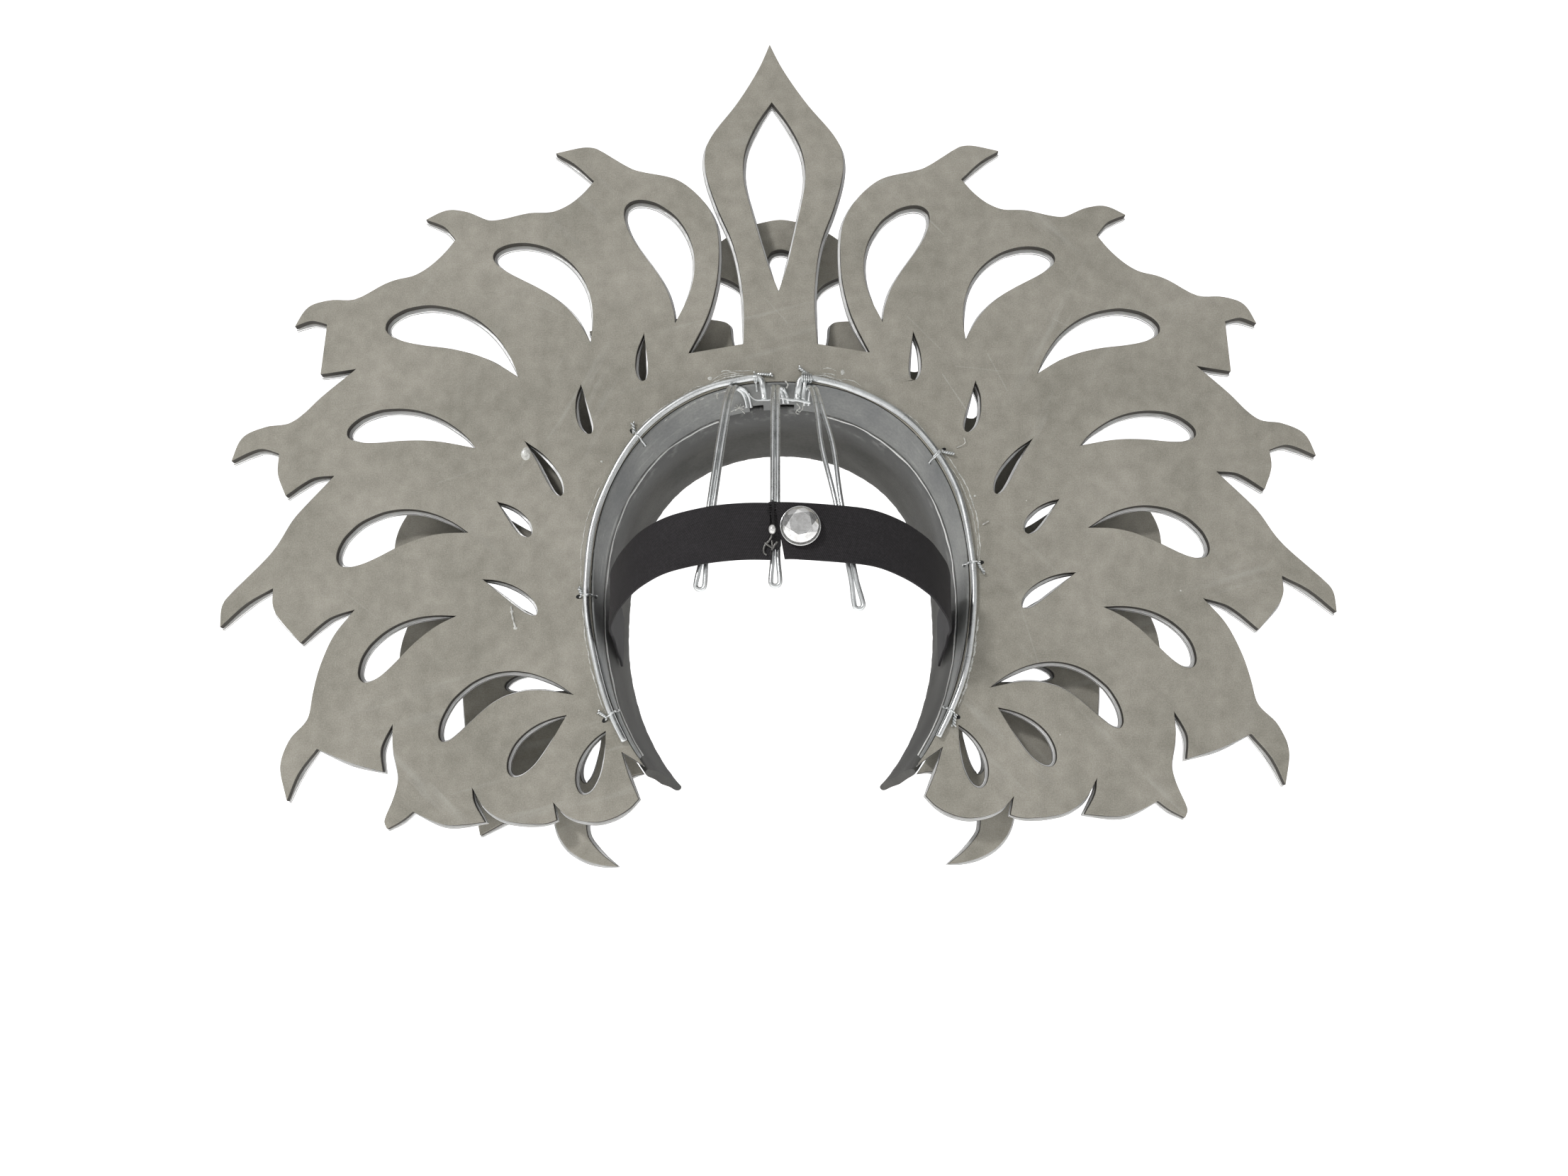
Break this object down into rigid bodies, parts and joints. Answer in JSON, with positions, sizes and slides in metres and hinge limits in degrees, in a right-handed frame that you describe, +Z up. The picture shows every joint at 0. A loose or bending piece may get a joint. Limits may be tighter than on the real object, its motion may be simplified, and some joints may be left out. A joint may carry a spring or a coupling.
{
  "type": "carnival crown",
  "caption": "Tall carnival crown with two pierced, leaf-edged foam plates on a padded head arch, wire hoop and prongs at the back, and an elastic head strap.",
  "frame": {"origin": "middle of the head opening, on the back face of the rear plate, where the wearer's head holds the crown", "axes": "+Z up, the wearer faces -Y, +X is the wearer's left"},
  "size_m": [0.5942, 0.1844, 0.4661],
  "materials": {
    "grey_foam": "matte closed-cell foam",
    "silver_facing": "bright silver film",
    "collar_grey": "matte painted foam",
    "band_black": "matte padded cloth",
    "galvanised_wire": "dull galvanised",
    "black_elastic": "woven elastic",
    "bright_metal": "polished",
    "clear_stone": "faceted clear acrylic with a silvered back"
  },
  "bodies": {
    "root": {"rear_plate_foam": "grey_foam", "rear_plate_facing": "silver_facing", "front_plate_foam": "grey_foam", "front_plate_facing": "silver_facing", "collar": "collar_grey", "collar_piping_left": "silver_facing", "collar_piping_right": "silver_facing", "head_band": "band_black", "spacer_left_1": "grey_foam", "spacer_left_2": "grey_foam", "spacer_left_3": "grey_foam", "spacer_left_4": "grey_foam", "spacer_right_1": "grey_foam", "spacer_right_2": "grey_foam", "spacer_right_3": "grey_foam", "spacer_right_4": "grey_foam", "hoop_left": "galvanised_wire", "hoop_right": "galvanised_wire", "tie_left_1": "galvanised_wire", "tie_left_2": "galvanised_wire", "tie_left_3": "galvanised_wire", "tie_left_4": "galvanised_wire", "tie_right_1": "galvanised_wire", "tie_right_2": "galvanised_wire", "tie_right_3": "galvanised_wire", "tie_right_4": "galvanised_wire", "top_link": "galvanised_wire", "prong_left": "galvanised_wire", "prong_centre": "galvanised_wire", "prong_right": "galvanised_wire", "strap_left": "black_elastic", "strap_right": "black_elastic", "clasp_bead": "bright_metal", "clasp_hook": "galvanised_wire", "button_cup": "bright_metal", "button_stone": "clear_stone"}
  },
  "joints": []
}
